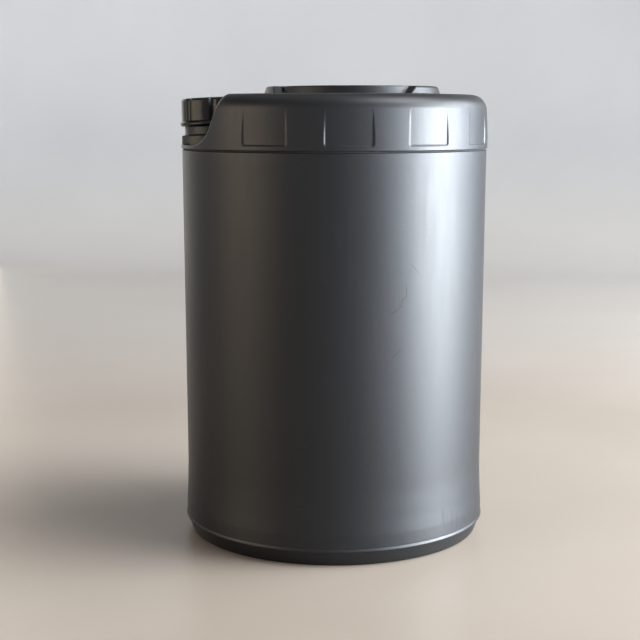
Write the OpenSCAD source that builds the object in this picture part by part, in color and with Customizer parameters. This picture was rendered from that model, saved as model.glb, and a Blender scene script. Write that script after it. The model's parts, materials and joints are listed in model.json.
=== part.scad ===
// Round plastic barrel: hollow vessel, plug-in cover with a side filler neck, screw cap with its seals.
// Millimetres, +Z up. The origin is the centre of the foot ring on the ground; the neck is on -X.

/* [Vessel] */
// Outer diameter of the vessel at its mouth
mouth_d = 283.6; // [282:0.2:284.4]
// Outer diameter of the wall just above the flared base
waist_d = 280.2; // [276:0.2:283]
// Height of the vessel's rim above the ground
rim_z = 359.9; // [240:0.1:420]
// Thickness of the vessel's and the cover's walls
wall = 3; // [2.6:0.1:3.2]
// Diameter of the bead round the base
bead_d = 285.2; // [282:0.2:286]
// Height of the base bead above the ground
bead_z = 14; // [12:0.5:18]
// Diameter of the foot ring where it meets the ground
foot_d = 273.2; // [268:0.2:276]
// Height at which the flared base runs out into the straight wall
flare_z = 47; // [40:1:60]
// Diameter of the stacking recess under the base
recess_d = 224; // [212:1:230]
// Depth of the stacking recess
recess_h = 10; // [9:0.5:14]

/* [Cover] */
// Outer diameter of the cover's band
band_d = 285.4; // [284.8:0.2:287]
// Height from the vessel's seam to the cover's plateau
cover_h = 48.5; // [48:0.1:50]
// Height of the upright part of the band
band_h = 10.5; // [9:0.5:12]
// How far the band leans in between its upright part and the shoulder
band_lean = 1.1; // [0.6:0.1:1.4]
// Radius of the shoulder between band and plateau
shoulder_r = 14.5; // [13:0.5:16]
// Depth of the plug that goes down inside the vessel's mouth
plug_h = 16; // [10:1:24]
// Thickness of the plug's wall
plug_t = 2; // [1.6:0.1:2]
// Radial clearance between the plug and the vessel's mouth
plug_gap = 0.5; // [0.35:0.05:0.6]

/* [Grip panels] */
// Angle between neighbouring panels
panel_pitch = 30; // [28:1:32]
// Width of one panel, as an angle about the barrel's axis
panel_angle = 16.2; // [12:0.2:18]
// Depth of a panel below the band's surface
panel_depth = 1; // [0.8:0.1:2]
// Height of a panel's lower edge above the seam
panel_rise = 5.2; // [4:0.1:8]
// Number of panels on each side, counted from the side away from the neck
panels_a_side = 4; // [1:1:4]

/* [Stacking boss] */
// Diameter of the boss at its foot
boss_d = 163.8; // [150:0.2:164]
// Diameter of the boss at its top
boss_top_d = 159; // [146:0.2:160]
// Height of the boss above the plateau
boss_h = 7.6; // [6:0.1:8]
// Distance of the boss's centre from the barrel's axis, away from the neck
boss_x = 16.8; // [16.5:0.1:18]
// Depth of the two side notches in the boss
notch_in = 8.4; // [6:0.2:12]
// Width of a notch as an angle about the boss's axis
notch_angle = 100; // [60:1:104]

/* [Spout recess] */
// Height of the recess's floor above the seam
recess_floor = 3.1; // [3:0.1:5]
// Lean of the recess's side wall from upright
recess_lean = 22.5; // [20:0.1:28]
// Distance from the barrel's axis to the recess's wall at the plateau
recess_x = 79.4; // [78:0.1:82]
// Radius between the recess's floor and wall
recess_fillet = 26.5; // [16:0.5:28]
// Radius of the round pocket about the neck, at its floor
pocket_r = 43.5; // [42:0.5:44]
// Radius of the round pocket about the neck, at the plateau
pocket_top_r = 45.5; // [45:0.1:45.8]

/* [Neck] */
// Distance of the neck's axis from the barrel's axis, at the neck's step
neck_x = 112.2; // [111.5:0.1:112.2]
// Outward lean of the neck and its cap from upright
neck_tilt = 2.3; // [0:0.1:3]
// Radius of the low pedestal that the neck stands on
pedestal_r = 38; // [36:0.5:40]
// Height of the pedestal's top above the seam
pedestal_h = 12.4; // [11:0.1:13]
// Diameter of the neck below its thread
neck_d = 62.6; // [62:0.1:63]
// Diameter of the neck over its thread
thread_d = 60.8; // [60:0.1:61]
// Diameter of the bore through the neck
neck_bore_d = 48; // [40:0.5:48]
// Height above the seam of the step that carries the tamper ring
neck_step_h = 20.7; // [20:0.1:22]
// Height of the neck's rim above the seam
neck_h = 42.3; // [42:0.1:43]

/* [Screw cap] */
// Outer diameter of the cap at its lower edge
cap_d = 68.6; // [68:0.1:69]
// Outer diameter of the cap at its top
cap_top_d = 67.4; // [66.6:0.1:67.6]
// Height of the cap
cap_h = 21.2; // [21:0.1:21.6]
// Thickness of the cap's top
cap_top_t = 2.5; // [2:0.1:2.6]
// Bore of the cap's skirt
cap_bore_d = 62; // [61.6:0.1:62.4]
// Radius of the cap's rounded top edge
cap_round = 3; // [1:0.1:3.2]
// Number of grip flutes round the cap
flutes = 8; // [6:1:16]
// Radius of a grip flute
flute_r = 5; // [3:0.1:6]
// Depth of a grip flute
flute_depth = 1.9; // [0.6:0.1:2]
// Angle of the first flute from -Y
flute_turn = 7.6; // [-20:0.1:20]

/* [Seals] */
// Thickness of the flat gasket between vessel and cover
gasket_t = 1.5; // [1:0.1:2]
// How far the gasket's edge lies inside the vessel's outer surface
gasket_in = 0.9; // [0.6:0.1:1.2]
// Diameter of the cap's sealing disc
liner_d = 61; // [58:0.1:61.2]
// Thickness of the cap's sealing disc
liner_t = 1.9; // [1.5:0.1:1.9]
// Outer diameter of the tamper ring over its rib
tamper_d = 71.6; // [70:0.1:72]
// Height of the tamper ring
tamper_h = 4.6; // [4:0.1:4.6]
// Height of the upright face of the tamper ring's rib
rib_h = 1.5; // [0.5:0.1:2.5]

/* [Hidden] */
$fn = 96;
overcut = 1;                  // how far a cutter runs past the face it opens
slip = 0.1;                   // free height left between faces that part when a joint moves
far = 200;                    // outside everything, for cutters and half planes
mouth_r = mouth_d / 2;
waist_r = waist_d / 2;
bead_r = bead_d / 2;
foot_r = foot_d / 2;
band_r = band_d / 2;
seam_z = rim_z + slip + gasket_t;         // underside of the cover's band
plateau_z = seam_z + cover_h;
shoulder_x = band_r - band_lean - shoulder_r;
shoulder_z = plateau_z - shoulder_r;
mouth_bore_r = mouth_r - wall;
plug_r = mouth_bore_r - plug_gap;
floor_z = seam_z + recess_floor;
cap_foot_h = neck_step_h + tamper_h + 3 * slip;

// Points along an arc, in a fixed number of steps.
function arc(x, z, r, from, to, steps = 12) =
    [for (i = [0:steps]) let (a = from + (to - from) * i / steps) [x + r * cos(a), z + r * sin(a)]];

// Outside of the vessel, from the axis under the base to the rim; inset 0 is the outer surface.
function vessel_outline(inset) = [
    [0, recess_h + inset],
    [recess_d / 2 + inset * 0.4, recess_h + inset],
    [recess_d / 2 + 4 + inset * 0.8, inset],
    [foot_r - inset, inset],
    [bead_r - 1.4 - inset, bead_z - 0.8 + inset * 0.4],
    [bead_r - inset, bead_z],
    [bead_r - 1 - inset, bead_z + 3.2],
    [mouth_r - 0.5 - inset, bead_z + 16],
    [waist_r - inset, flare_z],
    [mouth_r - inset, rim_z]
];

// Outside of the cover as a solid of revolution; inset moves the surface inward.
function cover_outline(inset) = concat(
    [[0, seam_z], [band_r - inset, seam_z], [band_r - inset, seam_z + band_h]],
    arc(shoulder_x, shoulder_z, shoulder_r - inset, 0, 90, 16),
    [[0, plateau_z - inset]]
);

// Side view of the recess: a level floor, a wide fillet and a leaning wall. grow moves it outward.
module recess_outline(grow) {
    wall_foot_x = -recess_x - tan(recess_lean) * (plateau_z - floor_z);
    r = recess_fillet + grow;
    fillet_z = floor_z + recess_fillet;
    fillet_x = wall_foot_x + tan(recess_lean) * recess_fillet - recess_fillet / cos(recess_lean);
    top_z = plateau_z + 10;
    top_x = -recess_x + tan(recess_lean) * 10 + grow / cos(recess_lean);
    polygon(concat(
        [[-far, top_z], [-far, floor_z - grow]],
        arc(fillet_x, fillet_z, r, -90, -recess_lean),
        [[top_x, top_z]]
    ));
}

// Everything that the spout recess takes out of the cover.
module spout_recess(grow) {
    rotate([90, 0, 0]) linear_extrude(2 * far, center = true) recess_outline(grow);
    translate([-neck_x, 0, floor_z - grow])
        cylinder(h = plateau_z - floor_z + grow + overcut, r1 = pocket_r + grow, r2 = pocket_top_r + grow);
}

// One recessed grip panel, centred on the angle given.
module grip_panel(angle) {
    rotate([0, 0, angle - panel_angle / 2]) rotate_extrude(angle = panel_angle)
        translate([band_r - panel_depth, seam_z + panel_rise]) square([far - band_r, cover_h]);
}

// Boss with a notch cut into each side; inset moves its surface inward.
module boss(inset) {
    notch_r = boss_top_d / 2 - notch_in - inset;
    notch_sweep = notch_angle + 2 * asin(inset / notch_r);
    translate([boss_x, 0, plateau_z - inset - overcut]) difference() {
        cylinder(h = boss_h + overcut, d1 = boss_d - 2 * inset, d2 = boss_top_d - 2 * inset);
        for (side = [-90, 90]) rotate([0, 0, side - notch_sweep / 2]) rotate_extrude(angle = notch_sweep)
            translate([notch_r, overcut]) square([boss_d, boss_h + overcut]);
    }
}

// Hollow vessel with a flared base, a foot ring and an open mouth.
module barrel_body() color([0.115, 0.12, 0.13]) {
    rotate_extrude() difference() {
        polygon(concat(vessel_outline(0), [[0, rim_z]]));
        polygon(concat(vessel_outline(wall), [[mouth_bore_r, rim_z + overcut], [0, rim_z + overcut]]));
    }
}

// Flat ring that seals the cover on the vessel's rim and shows as the dark seam.
module cover_gasket() color([0.03, 0.03, 0.03]) {
    translate([0, 0, seam_z - gasket_t]) difference() {
        cylinder(h = gasket_t, r = mouth_r - gasket_in);
        translate([0, 0, -overcut]) cylinder(h = gasket_t + 2 * overcut, r = plug_r);
    }
}

// Inside of the cover, kept one wall clear of the spout recess and of the ledge that the plug hangs from.
module cover_cavity() {
    difference() {
        union() {
            rotate_extrude() polygon(cover_outline(wall));
            boss(wall);
        }
        spout_recess(wall);
        translate([0, 0, seam_z - overcut]) difference() {
            cylinder(h = wall + overcut, r = band_r);
            translate([0, 0, -overcut]) cylinder(h = wall + 3 * overcut, r = plug_r - plug_t);
        }
    }
}

// Places its children on the leaning neck axis: local z = 0 is the seam's height, and the axis leans about
// the neck's step.
module on_neck() {
    translate([-neck_x, 0, seam_z + neck_step_h]) rotate([0, -neck_tilt, 0])
        translate([0, 0, -neck_step_h]) children();
}

// Neck with its pedestal, standing on the floor of the spout recess.
module neck() {
    intersection() {
        on_neck() translate([0, 0, -wall])
            cylinder(h = pedestal_h + wall, r1 = pedestal_r + 1, r2 = pedestal_r);
        translate([0, 0, seam_z]) cylinder(h = cover_h, r = band_r);
    }
    on_neck() translate([0, 0, wall]) {
        cylinder(h = neck_step_h - wall, d = neck_d);
        cylinder(h = neck_h - wall, d = thread_d);
    }
}

// Cover: band with grip panels, shoulder, plateau with its boss, spout recess, neck and plug.
module top_cover() color([0.125, 0.13, 0.14]) {
    difference() {
        union() {
            difference() {
                union() {
                    rotate_extrude() polygon(cover_outline(0));
                    boss(0);
                }
                spout_recess(0);
                for (i = [0:panels_a_side - 1], side = [-1, 1]) grip_panel(side * panel_pitch * (i + 0.5));
                cover_cavity();
            }
            neck();
            translate([0, 0, seam_z - plug_h]) difference() {
                cylinder(h = plug_h + wall / 2, r = plug_r);
                translate([0, 0, -overcut]) cylinder(h = far, r = plug_r - plug_t);
            }
        }
        on_neck() translate([0, 0, -wall]) cylinder(h = neck_h + wall + overcut, d = neck_bore_d);
    }
}

// Ring left on the neck's step when the cap is first opened, with a rib round it for the fingertips.
module tamper_ring() color([0.06, 0.06, 0.065]) {
    on_neck() rotate_extrude() translate([0, neck_step_h]) polygon([
        [thread_d / 2 + 0.3, 0],
        [cap_d / 2, 0],
        [tamper_d / 2, (tamper_h - rib_h) / 2],
        [tamper_d / 2, (tamper_h + rib_h) / 2],
        [cap_d / 2, tamper_h],
        [thread_d / 2 + 0.3, tamper_h]
    ]);
}

// Soft disc inside the cap that seals on the neck's rim.
module cap_liner() color([0.8, 0.8, 0.78]) {
    on_neck() translate([0, 0, neck_h + slip / 2]) cylinder(h = liner_t, d = liner_d);
}

// Screw cap with broad lands between narrow upright flutes.
module screw_cap() color([0.05, 0.05, 0.055]) {
    on_neck() translate([0, 0, cap_foot_h]) difference() {
        rotate_extrude() polygon(concat(
            [[0, 0], [cap_d / 2, 0]],
            arc(cap_top_d / 2 - cap_round, cap_h - cap_round, cap_round, 0, 90, 6),
            [[0, cap_h]]
        ));
        translate([0, 0, -overcut]) cylinder(h = cap_h - cap_top_t + overcut, d = cap_bore_d);
        for (i = [0:flutes - 1]) rotate([0, 0, -90 + flute_turn + i * 360 / flutes])
            translate([cap_d / 2 + flute_r - flute_depth, 0, -overcut])
                cylinder(h = cap_h + 2 * overcut, r = flute_r);
    }
}

barrel_body();
cover_gasket();
top_cover();
tamper_ring();
cap_liner();
screw_cap();
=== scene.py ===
"""Round plastic barrel: detailed meshes, materials, light and camera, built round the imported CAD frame.

Lengths inside the mesh functions are millimetres in the part's own frame; objects are made in metres.
"""
import json
import math

import bpy
import numpy as np
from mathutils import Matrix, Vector


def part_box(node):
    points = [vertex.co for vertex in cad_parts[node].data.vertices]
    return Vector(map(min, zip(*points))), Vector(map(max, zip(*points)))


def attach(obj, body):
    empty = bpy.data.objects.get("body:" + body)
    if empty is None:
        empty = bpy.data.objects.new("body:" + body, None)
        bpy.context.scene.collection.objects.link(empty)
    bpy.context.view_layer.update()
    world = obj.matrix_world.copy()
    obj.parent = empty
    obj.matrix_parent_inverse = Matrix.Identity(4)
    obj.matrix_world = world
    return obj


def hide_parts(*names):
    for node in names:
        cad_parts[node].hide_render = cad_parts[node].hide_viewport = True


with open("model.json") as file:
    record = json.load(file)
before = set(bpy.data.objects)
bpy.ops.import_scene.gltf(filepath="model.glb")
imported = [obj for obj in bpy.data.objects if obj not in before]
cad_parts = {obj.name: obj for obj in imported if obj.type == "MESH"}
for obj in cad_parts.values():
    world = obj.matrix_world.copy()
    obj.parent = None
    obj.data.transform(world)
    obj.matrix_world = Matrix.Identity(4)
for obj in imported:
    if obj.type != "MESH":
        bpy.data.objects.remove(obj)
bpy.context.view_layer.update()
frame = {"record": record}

MM = 0.001


def cad_mm(node):
    """The lowest and highest corner of a CAD node, in millimetres."""
    lo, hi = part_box(node)
    return np.array(lo) / MM, np.array(hi) / MM


# ---- Sizes: heights and radii read from the frame, details as on the moulding ----

vessel_hi = cad_mm("barrel_body")[1]
cover_lo, cover_hi = cad_mm("top_cover")
gasket_lo, gasket_hi = cad_mm("cover_gasket")
cap_turn = next(j for j in frame["record"]["behaviour"]["joints"] if j["name"] == "cap_turn")
NECK_FOOT = np.array(cap_turn["pos_m"]) / MM    # the point of the neck's axis at its step
NECK_LEAN = math.atan2(-cap_turn["axis"][0], cap_turn["axis"][2])

WALL = 3.0
BASE_Z = 10                     # underside of the vessel's base, inside the foot ring
FOOT_IN_R, FOOT_OUT_R = 116, 136.4
BEAD_R = vessel_hi[1]
BEAD_Z = 13.9
FLARE_Z = 28
WAIST_Z = 64
RIM_Z = vessel_hi[2]
SEAM_Z = gasket_hi[2]
BAND_R = cover_hi[1]
MOUTH_R = 141.8
WAIST_R = 140.25
PLUG_R = 138.3
PLUG_T = 2.0
PLUG_Z = cover_lo[2]
GASKET_IN = 0.9                 # from the mouth to the gasket's edge
BOSS_H = 7.6
BOSS_TOP_Z = cover_hi[2]
PLATEAU_Z = BOSS_TOP_Z - BOSS_H
FLOOR_Z = SEAM_Z + 3.1
NECK_R = 31.3
NECK_BORE_R = 24.0
NECK_TOP = 21.6                 # heights along the neck's axis count from its step
RING_TOP = 4.6
CAP_FOOT, CAP_TOP = 4.9, 26.1
LINER_FOOT, LINER_TOP = 21.65, 23.55
THREAD_LEAD = 6.0


# ---- Small mesh tools ----

def new_object(name, vertices, faces):
    """A smooth mesh object from N by 3 vertices in millimetres and faces of three or four corners."""
    mesh = bpy.data.meshes.new(name)
    mesh.from_pydata((np.asarray(vertices) * MM).tolist(), [], faces)
    mesh.validate()
    mesh.shade_smooth()
    obj = bpy.data.objects.new(name, mesh)
    bpy.context.scene.collection.objects.link(obj)
    return obj


def get_points(mesh):
    """A mesh's vertices in millimetres."""
    values = np.empty(len(mesh.vertices) * 3)
    mesh.vertices.foreach_get("co", values)
    return values.reshape(-1, 3) / MM


def set_points(mesh, points):
    """Moves a mesh's vertices to places given in millimetres."""
    mesh.vertices.foreach_set("co", (points * MM).ravel())
    mesh.update()


def rounded(corners, steps=6):
    """An outline through corners given as (x, z) or (x, z, radius), whose radius makes the corner an arc."""
    outline = []
    for i, corner in enumerate(corners):
        here = np.array(corner[:2], float)
        if len(corner) < 3:
            outline.append(here)
            continue
        before = np.array(corners[i - 1][:2], float) - here
        after = np.array(corners[(i + 1) % len(corners)][:2], float) - here
        before /= np.linalg.norm(before)
        after /= np.linalg.norm(after)
        half = math.acos(np.clip(before @ after, -1, 1)) / 2
        start = here + before * corner[2] / math.tan(half)
        end = here + after * corner[2] / math.tan(half)
        middle = (before + after) / np.linalg.norm(before + after)
        centre = here + middle * corner[2] / math.sin(half)
        a, b = start - centre, end - centre
        turn = math.atan2(a[0] * b[1] - a[1] * b[0], a @ b)
        for t in np.linspace(0, turn, steps + 1):
            c, s = math.cos(t), math.sin(t)
            outline.append(centre + np.array([c * a[0] - s * a[1], s * a[0] + c * a[1]]))
    return np.array(outline)


def spaced(outline, step):
    """The same outline with long straight stretches cut into pieces no longer than step."""
    points = [outline[0]]
    for a, b in zip(outline[:-1], outline[1:]):
        n = max(1, math.ceil(np.linalg.norm(b - a) / step))
        points += [a + (b - a) * k / n for k in range(1, n + 1)]
    return np.array(points)


def lathe(name, outline, segments, closed=False, shape=None):
    """Turns an (r, z) outline about the vertical axis. shape(angle, r, z) gives the radius to add.
    Ends of the outline at r = 0 are closed with one point each; closed joins the last point to the first."""
    outline = np.asarray(outline, float)
    angles = np.arange(segments) * 2 * math.pi / segments
    first_is_pole = not closed and outline[0, 0] < 1e-6
    last_is_pole = not closed and outline[-1, 0] < 1e-6
    rings = outline[int(first_is_pole):len(outline) - int(last_is_pole)]
    r = np.repeat(rings[:, :1], segments, axis=1)
    z = np.repeat(rings[:, 1:], segments, axis=1)
    if shape:
        r = r + shape(angles[None, :], r, z)
    vertices = np.stack([r * np.cos(angles), r * np.sin(angles), z], axis=-1).reshape(-1, 3)
    faces = []
    around = np.arange(segments)
    following = (around + 1) % segments
    pairs = [(i, i + 1) for i in range(len(rings) - 1)] + ([(len(rings) - 1, 0)] if closed else [])
    for low, high in pairs:
        faces += np.stack([low * segments + around, low * segments + following,
                           high * segments + following, high * segments + around], axis=1).tolist()
    for is_pole, point, ring, flip in ((first_is_pole, outline[0], 0, True),
                                       (last_is_pole, outline[-1], len(rings) - 1, False)):
        if is_pole:
            vertices = np.vstack([vertices, [0, 0, point[1]]])
            pole = np.full(segments, len(vertices) - 1)
            rim = [ring * segments + around, ring * segments + following]
            faces += np.stack([pole] + (rim[::-1] if flip else rim), axis=1).tolist()
    return new_object(name, vertices, faces)


# ---- Solids given by a distance field: negative inside, with round edges where two surfaces meet ----

def round_max(a, b, radius):
    """What lies in both a and b, with its outer edge rounded."""
    past_edge = np.hypot(np.maximum(a + radius, 0), np.maximum(b + radius, 0))
    return np.minimum(np.maximum(a, b), -radius) + past_edge


def round_min(a, b, radius):
    """What lies in a or b, with the inner corner between them filled to a fillet."""
    return -round_max(-a, -b, radius)


def field_normals(field, points, h=0.04):
    """The field's gradient at each point."""
    gradient = np.empty_like(points)
    for axis in range(3):
        step = np.zeros(3)
        step[axis] = h
        gradient[:, axis] = (field(*(points + step).T) - field(*(points - step).T)) / (2 * h)
    return gradient


def polar_surface(field, angles, radii, heights):
    """The zero surface of a field, found on a polar grid by surface nets and then moved exactly onto it."""
    t, r, z = np.meshgrid(angles, radii, heights, indexing="ij")
    values = field(r * np.cos(t), r * np.sin(t), z).astype(np.float32)
    nt, nr, nz = values.shape
    wrapped = np.concatenate([values, values[:1]], axis=0)
    inside = wrapped < 0
    count = sum(inside[i:nt + i, j:nr - 1 + j, k:nz - 1 + k].astype(np.int8)
                for i in (0, 1) for j in (0, 1) for k in (0, 1))
    cells = np.argwhere((count > 0) & (count < 8))
    number = np.full((nt, nr - 1, nz - 1), -1, np.int64)
    number[tuple(cells.T)] = np.arange(len(cells))
    corners = {(i, j, k): wrapped[cells[:, 0] + i, cells[:, 1] + j, cells[:, 2] + k]
               for i in (0, 1) for j in (0, 1) for k in (0, 1)}
    place = np.zeros((len(cells), 3))
    crossings = np.zeros(len(cells))
    for (i, j, k), low in corners.items():
        for axis, at in enumerate((i, j, k)):
            if at == 1:
                continue
            end = [i, j, k]
            end[axis] = 1
            high = corners[tuple(end)]
            cross = (low < 0) != (high < 0)
            share = np.where(cross, low / np.where(cross, low - high, 1), 0)
            offset = np.tile([i, j, k], (len(cells), 1)).astype(float)
            offset[:, axis] = share
            place += offset * cross[:, None]
            crossings += cross
    place = place / crossings[:, None] + cells
    closed_angles = np.append(angles, angles[0] + 2 * math.pi)
    angle = np.interp(place[:, 0], np.arange(nt + 1), closed_angles)
    radius = np.interp(place[:, 1], np.arange(nr), radii)
    points = np.stack([radius * np.cos(angle), radius * np.sin(angle),
                       np.interp(place[:, 2], np.arange(nz), heights)], axis=1)
    quads = []
    for axis in range(3):
        ends = [slice(None)] * 3
        ends[axis] = slice(1, None)
        starts = [slice(None)] * 3
        starts[axis] = slice(None, -1)
        low, high = inside[tuple(starts)], inside[tuple(ends)]
        if axis != 0:
            low, high = low[:nt], high[:nt]
        edges = np.argwhere(low != high)
        other = [a for a in range(3) if a != axis]
        for a in other:
            if a != 0:
                edges = edges[(edges[:, a] > 0) & (edges[:, a] < (0, nr - 1, nz - 1)[a])]
        around = []
        for da, db in ((-1, -1), (0, -1), (0, 0), (-1, 0)):
            cell = edges.copy()
            cell[:, other[0]] += da
            cell[:, other[1]] += db
            cell[:, 0] %= nt
            around.append(number[cell[:, 0], cell[:, 1], cell[:, 2]])
        around = np.stack(around, axis=1)
        outward = low[tuple(edges.T)]
        if axis == 1:
            outward = ~outward
        quads.append(np.where(outward[:, None], around[:, ::-1], around))
    quads = np.concatenate(quads)
    for _ in range(3):
        gradient = field_normals(field, points)
        size = np.maximum((gradient ** 2).sum(1), MIN_SLOPE)
        step = gradient * (field(*points.T) / size)[:, None]
        points -= step * np.minimum(1, MAX_STEP / np.maximum(np.linalg.norm(step, axis=1), 1e-9))[:, None]
    points, quads = close_axis(points, quads, cells)
    return points, quads


def close_axis(points, quads, cells):
    """Adds the fans that close the two small holes which a polar grid leaves round its axis."""
    rim = np.where(cells[:, 1] == 0)[0]
    faces = quads.tolist()
    for level in np.unique(np.round(points[rim, 2])):
        loop = rim[np.round(points[rim, 2]) == level]
        loop = loop[np.argsort(cells[loop, 0])]
        points = np.vstack([points, [0, 0, points[loop, 2].mean()]])
        up = level > PLATEAU_Z + BOSS_H / 2
        for a, b in zip(loop, np.roll(loop, -1)):
            faces.append([len(points) - 1, int(a), int(b)] if up else [len(points) - 1, int(b), int(a)])
    return points, faces


def graded(low, high, step_at):
    """Values from low to high whose spacing follows step_at(value)."""
    values = [low]
    while values[-1] < high:
        values.append(values[-1] + step_at(values[-1]))
    values = np.array(values)
    return low + (values - low) * (high - low) / (values[-1] - low)


# ---- Cover: one field for everything above the seam apart from the threaded part of the neck ----

SHOULDER = 14.5
BAND_LEAN = 1.1
BAND_UPRIGHT_Z = SEAM_Z + 10.5
BOSS_X, BOSS_R, BOSS_TOP_R = 16.8, 81.9, 79.5
NOTCH_IN, NOTCH_BACK_LEAN = 8.4, 1.6
NOTCH_HALF, NOTCH_HALF_TOP = 48.4, 55.2        # degrees, at the plateau and at the boss's top
NOTCH_ROUND, BOSS_EDGE = 0.6, 0.7
RECESS_LEAN = math.radians(22.5)
RECESS_X, RECESS_FILLET = 79.4, 26.5
POCKET_R, POCKET_TOP_R, POCKET_ROUND, POCKET_BLEND = 43.5, 45.5, 7.0, 9.0
PANEL_FIRST, PANEL_PITCH, PANEL_HALF, PANEL_DEPTH = 15.0, 30.0, 8.1, 1.0
PANEL_SIDE_SLOPE, PANEL_LOWER_SLOPE = 1.3, 1.5
PANEL_Z = SEAM_Z + 5.2
NOTCH_SCALE, PANEL_SCALE = 0.65, 0.58          # bring the fields of sloping faces back to true distances
PEDESTAL_R, PEDESTAL_TOP, PEDESTAL_SLOPE = 38.0, -8.3, 0.1
EDGE_R, EDGE_R_GAIN, EDGE_H = 1.0, 4.7, 14     # the recess's edge is rounder towards the plateau
RECESS_SIDE, NECK_SIDE = 118, 146              # degrees from +X at which the recess and the neck begin
MIN_SLOPE, MAX_STEP = 0.2, 0.8                 # keep the moves onto a surface short where its field is flat
KEPT_FACES = 0.46                              # share of the faces that thinning keeps


def boss_field(x, y, z):
    """The raised boss with its two side notches, whose ends lean apart upwards."""
    rise = np.clip((z - PLATEAU_Z) / BOSS_H, 0, 1)
    out = np.hypot(x - BOSS_X, y)
    boss = round_max(out - BOSS_R + (BOSS_R - BOSS_TOP_R) * rise, z - BOSS_TOP_Z, 2.0)
    off_side = np.abs(np.abs(np.degrees(np.arctan2(y, x - BOSS_X))) - 90)
    ends = np.radians(off_side - NOTCH_HALF - (NOTCH_HALF_TOP - NOTCH_HALF) * rise) * out * NOTCH_SCALE
    notch = round_max(BOSS_TOP_R - NOTCH_IN + NOTCH_BACK_LEAN * (1 - rise) - out, ends, NOTCH_ROUND)
    return round_max(boss, -notch, BOSS_EDGE)


def recess_field(x, y, z):
    """The space of the spout recess: floor, wide fillet, leaning wall and a round pocket about the neck."""
    tan, cos, sin = math.tan(RECESS_LEAN), math.cos(RECESS_LEAN), math.sin(RECESS_LEAN)
    wall_foot_x = -RECESS_X - tan * (PLATEAU_Z - FLOOR_Z)
    below = FLOOR_Z - z
    beyond = (x - wall_foot_x - tan * (z - FLOOR_Z)) * cos
    from_x = x - (wall_foot_x + tan * RECESS_FILLET - RECESS_FILLET / cos)
    from_z = z - (FLOOR_Z + RECESS_FILLET)
    along_wall = from_x / cos
    along_floor = -from_z - along_wall * sin
    cut = np.where((along_wall > 0) & (along_floor > 0), np.hypot(from_x, from_z) - RECESS_FILLET,
                   np.maximum(below, beyond))
    climb = np.clip((z - FLOOR_Z) / (PLATEAU_Z - FLOOR_Z), 0, 1)
    pocket = np.hypot(x - NECK_FOOT[0], y) - POCKET_R - (POCKET_TOP_R - POCKET_R) * climb
    return round_min(cut, round_max(pocket, below, POCKET_ROUND), POCKET_BLEND)


def panel_field(x, y, z):
    """The space of the grip panels, with sloping sides and round lower corners."""
    out = np.hypot(x, y)
    angle = np.abs(np.degrees(np.arctan2(y, x)))
    nearest = PANEL_FIRST + PANEL_PITCH * np.clip(np.round((angle - PANEL_FIRST) / PANEL_PITCH), 0, 3)
    rise = out - BAND_R + PANEL_DEPTH
    side = np.radians(np.abs(angle - nearest) - PANEL_HALF) * BAND_R - PANEL_SIDE_SLOPE * rise
    lower = PANEL_Z - z - PANEL_LOWER_SLOPE * rise
    return round_max(BAND_R - PANEL_DEPTH - out, round_max(side, lower, 2.0) * PANEL_SCALE, 0.25)


def skin_field(x, y, z):
    """The cover's outer form, before panels and neck, carried straight down past the seam."""
    lean = BAND_LEAN * np.clip((z - BAND_UPRIGHT_Z) / (PLATEAU_Z - SHOULDER - BAND_UPRIGHT_Z), 0, 1) ** 1.5
    cover = round_max(np.hypot(x, y) - BAND_R + lean, z - PLATEAU_Z, SHOULDER)
    cover = round_min(cover, boss_field(x, y, z), 1.2)
    edge = EDGE_R + EDGE_R_GAIN * np.clip((z - PLATEAU_Z + EDGE_H) / EDGE_H, 0, 1)
    return round_max(cover, -recess_field(x, y, z), edge)


def neck_place(x, y, z):
    """Distance from the neck's leaning axis, and height along it from the neck's step."""
    c, s = math.cos(NECK_LEAN), math.sin(NECK_LEAN)
    dx, dz = x - NECK_FOOT[0], z - NECK_FOOT[2]
    return np.hypot(c * dx + s * dz, y), c * dz - s * dx


def cover_field(x, y, z):
    """The whole cover: shell, panels, ledge and plug, pedestal and the foot of the neck."""
    out = np.hypot(x, y)
    from_neck, up_neck = neck_place(x, y, z)
    skin = skin_field(x, y, z)
    cover = np.maximum(round_max(skin, -panel_field(x, y, z), 0.4), -skin - WALL)
    ledge = np.maximum(np.maximum(PLUG_R - PLUG_T - out, out - BAND_R + 1.5), z - SEAM_Z - WALL)
    cover = np.minimum(cover, ledge)
    below_top = PEDESTAL_TOP - up_neck
    pedestal = round_max(from_neck - PEDESTAL_R - PEDESTAL_SLOPE * below_top, -below_top, 1.2)
    neck = round_max(from_neck - NECK_R, up_neck, 0.4)
    standing = round_min(round_max(pedestal, out - BAND_R, 0.6), neck, 1.2)
    cover = round_min(cover, np.maximum(standing, SEAM_Z - z), 2.0)
    cover = round_max(cover, SEAM_Z - z, 0.3)
    plug = np.maximum(round_max(out - PLUG_R, PLUG_Z - z, 0.8), z - SEAM_Z - WALL / 2)
    cover = np.minimum(cover, round_max(plug, PLUG_R - PLUG_T - out, 0.3))
    return round_max(cover, NECK_BORE_R - from_neck, 0.5)


def angle_step(angle):
    """Spacing of the polar grid: close at panel edges and round the spout recess."""
    off = abs(abs(angle) - PANEL_FIRST) % PANEL_PITCH
    off = min(off, PANEL_PITCH - off)
    if abs(angle) > NECK_SIDE:
        return 0.6
    if abs(angle) > RECESS_SIDE:
        return 0.45
    return 0.28 if abs(off - PANEL_HALF) < 1.6 else 0.9


def radius_step(r):
    """Spacing of the polar grid: coarse within the boss, close at the band."""
    return 5 if r < 58 else 1.3 if r < 124 else 0.8


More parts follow.
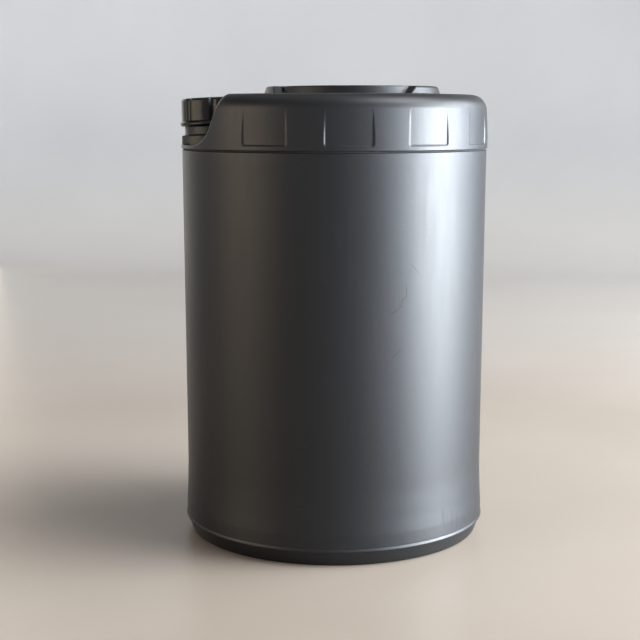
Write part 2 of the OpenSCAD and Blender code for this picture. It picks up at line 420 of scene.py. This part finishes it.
def height_step(z):
    """Spacing of the polar grid: close at the seam and at the panels' lower edges."""
    if z < SEAM_Z - 2:
        return 3
    if z < SEAM_Z + 2.5:
        return 0.7
    if z < SEAM_Z + 6.5:
        return 0.5
    return 1.3 if z < PLATEAU_Z - SHOULDER else 0.8


def make_cover():
    """The cover above the threaded neck, as one closed mesh with the field's own normals."""
    half = graded(0, 180, angle_step)
    angles = np.radians(np.concatenate([-half[:0:-1], half[:-1]]))
    radii = graded(0, BAND_R + 2, radius_step)
    heights = graded(PLUG_Z - 1.5, BOSS_TOP_Z + 1.5, height_step)
    points, faces = polar_surface(cover_field, angles, radii, heights)
    obj = new_object("cover_shell", points, faces)
    thin = obj.modifiers.new("thin", "DECIMATE")
    thin.ratio = KEPT_FACES
    thinned = bpy.data.meshes.new_from_object(obj.evaluated_get(bpy.context.evaluated_depsgraph_get()))
    obj.modifiers.remove(thin)
    obj.data = thinned
    points = get_points(thinned)
    normals = field_normals(cover_field, points)
    points -= normals * (cover_field(*points.T) / np.maximum((normals ** 2).sum(1), MIN_SLOPE))[:, None]
    set_points(thinned, points)
    normals = field_normals(cover_field, points)
    thinned.shade_smooth()
    thinned.normals_split_custom_set_from_vertices(normals / np.linalg.norm(normals, axis=1)[:, None])
    return obj


# ---- Vessel, seals, neck thread and cap: turned outlines ----

VESSEL_STEP, VESSEL_SEGMENTS = 12, 288
RING_SEGMENTS, GASKET_SEGMENTS, LINER_SEGMENTS, CAP_SEGMENTS = 240, 192, 120, 480

def make_vessel():
    """The vessel: recessed base, foot ring, bead, flare, wall and rim, outside and inside."""
    outside = [
        (0, BASE_Z), (112, BASE_Z, 3), (FOOT_IN_R, 0, 2.5), (FOOT_OUT_R, 0, 3),
        (BEAD_R - 1.4, 13.3, 0.3), (BEAD_R, BEAD_Z, 0.35), (BEAD_R - 0.1, 14.7, 0.4),
        (BEAD_R - 0.85, 16.5, 0.3), (BEAD_R - 0.75, 17.4, 0.4), (BEAD_R - 0.85, FLARE_Z, 30),
        (141.0, 41, 100), (WAIST_R, WAIST_Z, 300), (MOUTH_R, RIM_Z, 0.5),
    ]
    inside = [
        (MOUTH_R - WALL, RIM_Z, 0.5), (WAIST_R - WALL, WAIST_Z, 300), (BEAD_R - WALL - 0.85, FLARE_Z, 60),
        (BEAD_R - WALL - 1.4, 15, 4), (133.6, WALL, 3), (119.5, WALL, 3), (113.5, BASE_Z + WALL, 3),
        (0, BASE_Z + WALL),
    ]
    return lathe("vessel_shell", spaced(rounded(outside + inside), VESSEL_STEP), VESSEL_SEGMENTS)


def make_gasket():
    """The flat gasket, with its outer edge slightly rounded."""
    outer, inner = MOUTH_R - GASKET_IN, PLUG_R
    low, high = gasket_lo[2], gasket_hi[2]
    outline = rounded([(inner, low), (outer, low, 0.4), (outer, high, 0.4), (inner, high)], 3)
    return lathe("cover_gasket_ring", outline, GASKET_SEGMENTS, closed=True)


def thread(radius_gain, phase, low, high, width=1.5, flank=0.9):
    """Radius to add for a thread ridge that climbs anticlockwise and fades out at both ends."""
    def shape(angle, r, z):
        turn = (z - THREAD_LEAD * (angle + phase) / (2 * math.pi)) / THREAD_LEAD
        off = np.abs(turn - np.round(turn)) * THREAD_LEAD
        ridge = np.clip((width / 2 + flank - off) / flank, 0, 1)
        ends = np.clip(np.minimum(z - low, high - z) / 1.5, 0, 1)
        return radius_gain * (3 * ridge ** 2 - 2 * ridge ** 3) * ends
    return shape


CAP_R, CAP_TOP_R, CAP_ROUND = 34.3, 33.7, 2.8
CAP_BORE_R = 31.0
CAP_PANEL_R, CAP_PANEL_IN = 25.4, 0.5
FLUTES, FLUTE_TURN, FLUTE_DEPTH, FLUTE_HALF = 8, -82.4, 1.9, 4.0    # turn in degrees
FLUTE_FADE_R, FLUTE_FADE_W = 27, 4.5
NECK_SHOULDER_R, NECK_ROOT_R, NECK_RIDGE = 30.2, 28.9, 1.5
CAP_RIDGE = 1.6
RING_BORE_R, RING_R = 30.7, 35.8
LINER_R = 30.5


def on_neck(obj):
    """Moves a piece turned about the origin onto the neck's leaning axis."""
    points = get_points(obj.data)
    c, s = math.cos(NECK_LEAN), math.sin(NECK_LEAN)
    x, z = points[:, 0].copy(), points[:, 2].copy()
    points[:, 0] = NECK_FOOT[0] + c * x - s * z
    points[:, 2] = NECK_FOOT[2] + c * z + s * x
    set_points(obj.data, points)
    return obj


def make_neck():
    """The threaded upper part of the neck, standing on the cover's neck step."""
    outline = rounded([
        (NECK_BORE_R, 0), (NECK_SHOULDER_R, 0), (NECK_SHOULDER_R, CAP_FOOT), (NECK_ROOT_R, CAP_FOOT + 1.5),
        (NECK_ROOT_R, NECK_TOP, 0.9), (NECK_BORE_R, NECK_TOP, 0.9),
    ], 4)
    ridge = thread(NECK_RIDGE, 0, CAP_FOOT + 1.6, NECK_TOP - 1.2, 1.2, 0.8)

    def outside_only(angle, r, z):
        return np.where(np.abs(r - NECK_ROOT_R) < 0.01, ridge(angle, r, z), 0)

    return on_neck(lathe("neck_thread", spaced(outline, 0.4), RING_SEGMENTS, closed=True, shape=outside_only))


def make_tamper_ring():
    """The ring under the cap, with a rib round it whose faces slope back to the cap's own width."""
    outline = rounded([
        (RING_BORE_R, 0), (CAP_R - 0.2, 0, 0.3), (RING_R, 1.6, 0.4), (RING_R, 3.0, 0.5),
        (CAP_R + 0.1, RING_TOP - 0.2, 0.4), (CAP_R - 0.4, RING_TOP, 0.2), (RING_BORE_R, RING_TOP),
    ], 4)
    return on_neck(lathe("tamper_band", outline, RING_SEGMENTS, closed=True))


def make_liner():
    """The soft disc inside the cap."""
    outline = rounded([
        (0, LINER_FOOT), (LINER_R, LINER_FOOT, 0.4), (LINER_R, LINER_TOP, 0.3), (0, LINER_TOP),
    ], 3)
    return on_neck(lathe("cap_sealing_disc", spaced(outline, 2), LINER_SEGMENTS))


def cap_shape(angle, r, z):
    """Radius to add to the cap: grip flutes outside, a thread ridge inside."""
    pitch = 360 / FLUTES
    off = (np.degrees(angle) - FLUTE_TURN + pitch / 2) % pitch - pitch / 2
    across = np.clip(np.abs(np.radians(off)) * CAP_R / FLUTE_HALF, 0, 1)
    dip = FLUTE_DEPTH * (1 - across ** 2) ** 1.5
    outside = (r > CAP_BORE_R + 0.3) | (z > LINER_TOP + 0.3)
    fade = np.clip((r - FLUTE_FADE_R) / FLUTE_FADE_W, 0, 1)
    ridge = thread(-CAP_RIDGE, math.pi, CAP_FOOT + 1.2, LINER_FOOT - 1.2, 0.9, 0.7)(angle, r, z)
    return np.where(outside, -dip * fade, np.where(np.abs(r - CAP_BORE_R) < 0.05, ridge, 0))


def make_cap():
    """The screw cap: fluted skirt, rounded top edge, shallow round panel in its top, threaded bore."""
    inner_top = LINER_TOP + 0.05
    outline = rounded([
        (0, inner_top), (CAP_BORE_R, inner_top), (CAP_BORE_R, CAP_FOOT, 0.4), (CAP_R, CAP_FOOT, 0.4),
        (CAP_TOP_R, CAP_TOP - 0.6, CAP_ROUND), (28.0, CAP_TOP, 2.0), (26.0, CAP_TOP, 0.8),
        (CAP_PANEL_R, CAP_TOP - CAP_PANEL_IN, 0.6), (0, CAP_TOP - CAP_PANEL_IN),
    ], 8)
    return on_neck(lathe("screw_cap_shell", spaced(outline, 0.5), CAP_SEGMENTS, shape=cap_shape))


# ---- Materials ----

PLASTIC_IOR, GLOSS_IOR = 1.4, 1.31
DUST, DUST_SHARE = (0.10, 0.095, 0.085, 1), 0.2


class Nodes:
    """A material's node tree with short calls for the nodes used here."""

    def __init__(self, name):
        self.material = bpy.data.materials.new(name)
        self.material.use_nodes = True
        self.tree = self.material.node_tree
        self.shader = self.tree.nodes["Principled BSDF"]

    def add(self, kind, inputs=(), **settings):
        """A node with its settings; inputs are (socket, value or output) pairs."""
        node = self.tree.nodes.new(kind)
        for key, value in settings.items():
            setattr(node, key, value)
        for socket, value in inputs:
            self.put(node, socket, value)
        return node

    def put(self, node, socket, value):
        if isinstance(value, bpy.types.NodeSocket):
            self.tree.links.new(value, node.inputs[socket])
        else:
            node.inputs[socket].default_value = value

    def math(self, operation, *values, clamp=False):
        node = self.add("ShaderNodeMath", enumerate(values), operation=operation)
        node.use_clamp = clamp
        return node.outputs[0]

    def place(self, scale=(1, 1, 1)):
        """Object coordinates in metres, scaled along each axis."""
        coordinates = self.add("ShaderNodeTexCoord").outputs["Object"]
        return self.add("ShaderNodeMapping", [("Vector", coordinates), ("Scale", scale)]).outputs[0]

    def noise(self, scale, detail=3.0, roughness=0.55, stretch=(1, 1, 1)):
        return self.add("ShaderNodeTexNoise", [
            ("Vector", self.place(stretch)), ("Scale", scale), ("Detail", detail), ("Roughness", roughness),
        ]).outputs["Fac"]

    def ramp(self, value, stops):
        """A value turned into colours or greys: stops are (position, grey or colour)."""
        node = self.add("ShaderNodeValToRGB", [("Fac", value)])
        elements = node.color_ramp.elements
        while len(elements) < len(stops):
            elements.new(0.5)
        for element, (position, colour) in zip(elements, stops):
            element.position = position
            element.color = (*colour, 1) if isinstance(colour, tuple) else (colour, colour, colour, 1)
        return node.outputs["Color"]

    def mix(self, share, a, b):
        """Colour a where share is 0, b where it is 1."""
        return self.add("ShaderNodeMix", [("Factor", share), (6, a), (7, b)], data_type="RGBA").outputs[2]

    def bump(self, height, distance, strength=1.0, normal=None):
        pairs = [("Height", height), ("Distance", distance), ("Strength", strength)]
        if normal:
            pairs.append(("Normal", normal))
        return self.add("ShaderNodeBump", pairs).outputs[0]


SCRATCHES = [    # polylines on the wall: (degrees about the axis, millimetres above the ground)
    [(-54, 238), (-56, 233), (-56, 229), (-60, 222)],
    [(-56, 192), (-59, 185)],
    [(-52, 264), (-49, 257)],
    [(-54, 247), (-54, 239)],
    [(63, 300), (60, 270), (61, 250)],
    [(121, 96), (118, 88)],
]
SCUFFS = [(-36, 41), (-31, 39), (-28, 37)]    # degrees and top of each upright rub mark at the foot
SCUFF_LENGTH = 16
SCRATCH_HALF = 0.45


def scratched(n):
    """Mask of the scratches, from each segment's distance on the unrolled wall."""
    place = n.add("ShaderNodeSeparateXYZ", [("Vector", n.place())]).outputs
    arc = n.math("MULTIPLY", n.math("ARCTAN2", place["Y"], place["X"]), WAIST_R * MM)
    flat = n.add("ShaderNodeCombineXYZ", [("X", arc), ("Y", place["Z"])]).outputs[0]
    nearest = None
    scuffs = [[(angle, top), (angle, top - SCUFF_LENGTH)] for angle, top in SCUFFS]
    for line in SCRATCHES + scuffs:
        corners = [Vector((math.radians(angle) * WAIST_R, z, 0)) * MM for angle, z in line]
        for start, end in zip(corners[:-1], corners[1:]):
            along = end - start
            offset = n.add("ShaderNodeVectorMath", [(0, flat), (1, start)], operation="SUBTRACT").outputs[0]
            dot = n.add("ShaderNodeVectorMath", [(0, offset), (1, along / along.length_squared)],
                        operation="DOT_PRODUCT").outputs["Value"]
            share = n.math("ADD", dot, 0.0, clamp=True)
            foot = n.add("ShaderNodeVectorMath", [(0, along), ("Scale", share)], operation="SCALE").outputs[0]
            gap = n.add("ShaderNodeVectorMath", [(0, offset), (1, foot)],
                        operation="DISTANCE").outputs["Value"]
            nearest = gap if nearest is None else n.math("MINIMUM", nearest, gap)
    return n.math("SUBTRACT", 1.0, n.math("DIVIDE", nearest, SCRATCH_HALF * MM), clamp=True)


def varied(colour):
    """Ramp stops from a little darker than a colour to a little lighter."""
    return [(0.3, tuple(c * 0.85 for c in colour)), (0.7, tuple(c * 1.15 for c in colour))]


def satin_plastic(name, colour, roughness, marks=None):
    """Satin black polyethylene: fine upright streaks, soft blotches, a little grain, and handling marks."""
    n = Nodes(name)
    streaks = n.noise(420, 4, 0.6, (1, 1, 0.035))
    patches = n.noise(60, 3, 0.6, (1, 1, 0.25))
    blotches = n.noise(9, 2, 0.5, (1, 1, 0.6))
    grain = n.noise(1500, 2, 0.6)
    tone = n.ramp(blotches, varied(colour))
    specks = n.ramp(n.noise(900, 1, 0.4), [(0.72, 0.0), (0.78, 1.0)])
    tone = n.mix(n.math("MULTIPLY", specks, DUST_SHARE), tone, DUST)
    rough = n.math("MULTIPLY_ADD", streaks, 0.14, roughness - 0.095)
    rough = n.math("MULTIPLY_ADD", patches, 0.05, rough)
    normal = n.bump(grain, 0.00006, 0.6)
    normal = n.bump(streaks, 0.00004, 0.6, normal)
    normal = n.bump(patches, 0.0001, 0.5, normal)
    if marks:
        mask = n.math("MULTIPLY", marks(n), n.ramp(streaks, [(0.3, 0.4), (0.6, 1.0)]))
        rough = n.math("MULTIPLY_ADD", mask, 0.25, rough)
        normal = n.bump(mask, -0.00012, 0.7, normal)
        n.put(n.shader, "Specular IOR Level", n.math("MULTIPLY_ADD", mask, -0.3, 0.5))
    n.put(n.shader, "Base Color", tone)
    n.put(n.shader, "Roughness", rough)
    n.put(n.shader, "Normal", normal)
    n.put(n.shader, "IOR", PLASTIC_IOR)
    return n.material


def gloss_plastic(name, colour, roughness):
    """Moulded gloss plastic with faint ripples and fine wear."""
    n = Nodes(name)
    ripple = n.noise(60, 2, 0.5)
    wear = n.noise(700, 4, 0.6, (1, 1, 0.3))
    tone = n.ramp(ripple, varied(colour))
    rough = n.math("MULTIPLY_ADD", wear, 0.10, roughness - 0.04)
    n.put(n.shader, "Base Color", tone)
    n.put(n.shader, "Roughness", rough)
    n.put(n.shader, "Normal", n.bump(ripple, 0.0002, 0.25))
    n.put(n.shader, "IOR", GLOSS_IOR)
    return n.material


def soft_rubber(name, colour, roughness, pores):
    """Matte rubber or foam with fine pores."""
    n = Nodes(name)
    cells = n.noise(pores, 3, 0.6)
    tone = n.ramp(cells, [(0.3, tuple(c * 0.8 for c in colour)), (0.7, colour)])
    n.put(n.shader, "Base Color", tone)
    n.put(n.shader, "Roughness", n.math("MULTIPLY_ADD", cells, 0.1, roughness - 0.05))
    n.put(n.shader, "Normal", n.bump(cells, 0.0001, 0.4))
    return n.material


# ---- Build ----

def finish_piece(obj, body, node, material):
    """Puts a piece on its body in place of a CAD node and material."""
    obj.data.materials.clear()
    obj.data.materials.append(material)
    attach(obj, body)
    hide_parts(node)


CAMERA_TURN = math.radians(10.5)
CAMERA_PITCH = math.radians(8.557)
CAMERA_BACK, CAMERA_LEFT, CAMERA_HEIGHT = 1.2768, 0.0133, 0.3901
CAMERA_LENS, SENSOR = 75.95, 36.0
BOWL_R, BOWL_CURVE, BOWL_H = 3000.0, 900.0, 2600.0
# The floor's second colour is painted light: a lighter tone further out that stands in for the lamp light
# falling off with distance.
FLOOR_COLOUR, FAR_FLOOR_PAINTED_LIGHT = (0.205, 0.165, 0.127), (0.36, 0.33, 0.30)
WALL_COLOUR = (0.29, 0.282, 0.274)
BOWL_SEGMENTS = 96
FLOOR_ROUGHNESS = 0.36
SKY, SKY_COLOUR = 0.05, (0.93, 0.96, 1.0)
LIGHT_AIM = 0.25                # height that the lights point at
CEILING_H, CEILING_W, CEILING = 2.7, 3.2, 0.5
# Each light: name, azimuth in degrees clockwise from straight beyond the barrel, distance, height, width,
# tall, radiance, colour.
LIGHTS = [
    ("window", 101, 2.1, 0.4, 1.4, 0.8, 60, (0.90, 0.98, 1.06)),
    ("window_upper", 84, 2.1, 1.3, 2.0, 0.8, 18, (0.92, 0.98, 1.05)),
    ("window_high", 104, 1.5, 2.3, 1.4, 1.3, 13, (0.94, 0.98, 1.03)),
    ("window_far", 132, 2.1, 0.5, 0.8, 1.0, 9.5, (0.86, 0.98, 1.2)),
    ("window_edge", 70, 2.1, 0.45, 0.8, 0.9, 7, (0.84, 0.98, 1.18)),
    ("left_back", -112, 2.1, 0.6, 1.4, 1.2, 3.0, (1.25, 1.0, 0.76)),
    ("left_fill", -34, 2.1, 0.6, 1.0, 1.2, 0.8, (1.12, 1.0, 0.84)),
]


def turned(x, y, z):
    """A point given to the right of, beyond and above the barrel's foot as the camera sees it."""
    c, s = math.cos(CAMERA_TURN), math.sin(CAMERA_TURN)
    return Vector((c * x - s * y, s * x + c * y, z))


def make_camera():
    """The camera at the photograph's viewing angle."""
    data = bpy.data.cameras.new("camera")
    data.lens, data.sensor_width = CAMERA_LENS, SENSOR
    data.clip_start, data.clip_end = 0.05, 100
    camera = bpy.data.objects.new("camera", data)
    camera.location = turned(-CAMERA_LEFT, -CAMERA_BACK, CAMERA_HEIGHT)
    camera.rotation_euler = (math.pi / 2 - CAMERA_PITCH, 0, CAMERA_TURN)
    bpy.context.scene.collection.objects.link(camera)
    bpy.context.scene.camera = camera


def area_light(name, place, target, width, tall, radiance, colour):
    """A soft light that the camera doesn't see: a rectangle in metres with the given radiance."""
    data = bpy.data.lights.new(name, "AREA")
    data.shape, data.size, data.size_y = "RECTANGLE", width, tall
    data.energy, data.color = radiance * math.pi * width * tall, colour
    light = bpy.data.objects.new(name, data)
    light.location = place
    light.rotation_euler = (target - place).to_track_quat("-Z", "Y").to_euler()
    light.visible_camera = False
    bpy.context.scene.collection.objects.link(light)


def make_stage():
    """A pale floor, painted lighter further out in place of light that falls off away from the lamps, that
    curves up into a pale wall all round, a soft sky, and soft area lights.
    """
    outline = rounded([(0, 0), (BOWL_R, 0, BOWL_CURVE), (BOWL_R, BOWL_H)], 16)
    bowl = lathe("studio_floor", outline, BOWL_SEGMENTS)
    n = Nodes("studio_paint")
    cloud = n.noise(3, 3, 0.5)
    height = n.add("ShaderNodeSeparateXYZ", [("Vector", n.place())]).outputs["Z"]
    out = n.add("ShaderNodeVectorMath", [(0, n.place((1, 1, 0)))], operation="LENGTH").outputs["Value"]
    # Painted light: the floor turns from its own warm colour near the barrel to a lighter painted tone
    # further out, in place of light that falls off away from the lamps.
    floor = n.ramp(n.math("DIVIDE", out, BOWL_R * MM), [(0.2, FLOOR_COLOUR), (0.7, FAR_FLOOR_PAINTED_LIGHT)])
    tone = n.mix(n.ramp(height, [(0.0, 0.0), (0.3, 1.0)]), floor, (*WALL_COLOUR, 1))
    n.put(n.shader, "Base Color", n.mix(n.math("MULTIPLY", cloud, 0.06), tone, (1, 1, 1, 1)))
    n.put(n.shader, "Roughness", n.math("MULTIPLY_ADD", height, 0.5, FLOOR_ROUGHNESS, clamp=True))
    bowl.data.materials.append(n.material)
    world = bpy.data.worlds.new("room")
    bpy.context.scene.world = world
    world.use_nodes = True
    background = world.node_tree.nodes["Background"]
    background.inputs["Color"].default_value = (*SKY_COLOUR, 1)
    background.inputs["Strength"].default_value = SKY
    for name, azimuth, distance, height, width, tall, radiance, colour in LIGHTS:
        a = math.radians(azimuth)
        place = turned(distance * math.sin(a), distance * math.cos(a), height)
        area_light(name, place, Vector((0, 0, LIGHT_AIM)), width, tall, radiance, colour)
    area_light("ceiling", Vector((0, 0, CEILING_H)), Vector((0, 0, 0)), CEILING_W, CEILING_W, CEILING,
               (1, 1, 1))


bpy.context.scene.view_settings.view_transform = "Standard"
make_camera()
make_stage()
body_plastic = satin_plastic("body_polyethylene", (0.004, 0.0043, 0.005), 0.45, scratched)
cover_plastic = satin_plastic("cover_polyethylene", (0.0045, 0.0048, 0.0055), 0.43)
cap_plastic = gloss_plastic("cap_gloss", (0.006, 0.006, 0.0065), 0.22)
finish_piece(make_vessel(), "barrel", "barrel_body", body_plastic)
finish_piece(make_cover(), "cover", "top_cover", cover_plastic)
finish_piece(make_neck(), "cover", "top_cover", cover_plastic)
finish_piece(make_gasket(), "cover", "cover_gasket",
             soft_rubber("gasket_black", (0.006, 0.006, 0.006), 0.8, 900))
finish_piece(make_tamper_ring(), "cover", "tamper_ring", cap_plastic)
finish_piece(make_liner(), "cap_seal", "cap_liner",
             soft_rubber("liner_white", (0.7, 0.7, 0.67), 0.75, 1500))
finish_piece(make_cap(), "cap", "screw_cap", cap_plastic)
